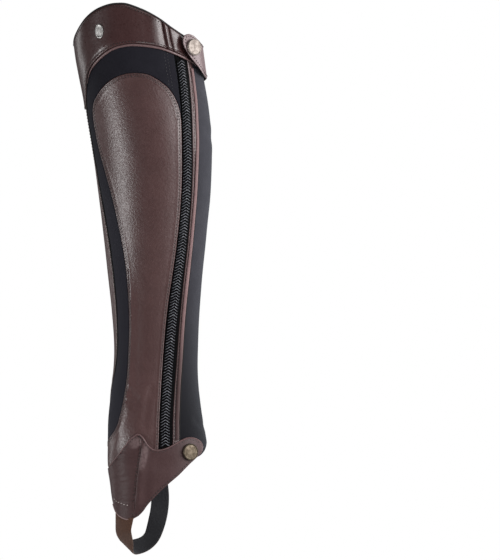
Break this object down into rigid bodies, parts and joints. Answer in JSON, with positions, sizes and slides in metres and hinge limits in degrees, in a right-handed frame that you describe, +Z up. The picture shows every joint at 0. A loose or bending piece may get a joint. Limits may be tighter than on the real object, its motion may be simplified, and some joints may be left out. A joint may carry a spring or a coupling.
{
  "type": "half chap",
  "caption": "Brown leather half chap for the left leg, filled out as worn, with a black stretch arch, rear zip, curved top band with snap tab, ankle flap with snap and an elastic foot strap",
  "frame": {"origin": "In the middle of the leg's hollow at the widest part of the calf, where the leg that wears it fills it", "axes": "+Z up along the leg, -Y the outer side of the leg, -X the shin, +X the calf"},
  "size_m": [0.1349, 0.1135, 0.5361],
  "materials": {
    "leather": "smooth dark brown leather, half gloss",
    "band_leather": "smooth darker brown leather, half gloss",
    "stretch_cloth": "black stretch cloth, dull",
    "zip_tape": "black woven tape",
    "zip_chain": "dark grey zip chain",
    "piping": "pinkish brown leather over cord",
    "edge_cloth": "dark edge binding",
    "plate_metal": "plain bright metal",
    "snap_metal": "antique brass",
    "elastic": "woven elastic, brown outside and black inside"
  },
  "bodies": {
    "root": {"inner_panel": "leather", "outer_stretch_panel": "stretch_cloth", "outer_leather_panel": "leather", "back_stretch_panel": "stretch_cloth", "zip_tape_front": "zip_tape", "zip_tape_rear": "zip_tape", "zip_chain": "zip_chain", "zip_binding": "piping", "zip_piping": "piping", "band_front": "band_leather", "band_gusset": "band_leather", "band_rear": "band_leather", "band_inner_side": "band_leather", "band_piping": "piping", "top_binding": "edge_cloth", "plate": "plate_metal", "snap_cap_top": "snap_metal", "snap_cap_ankle": "snap_metal", "flap_front": "leather", "flap_rear": "leather", "foot_strap": "elastic"}
  },
  "joints": []
}
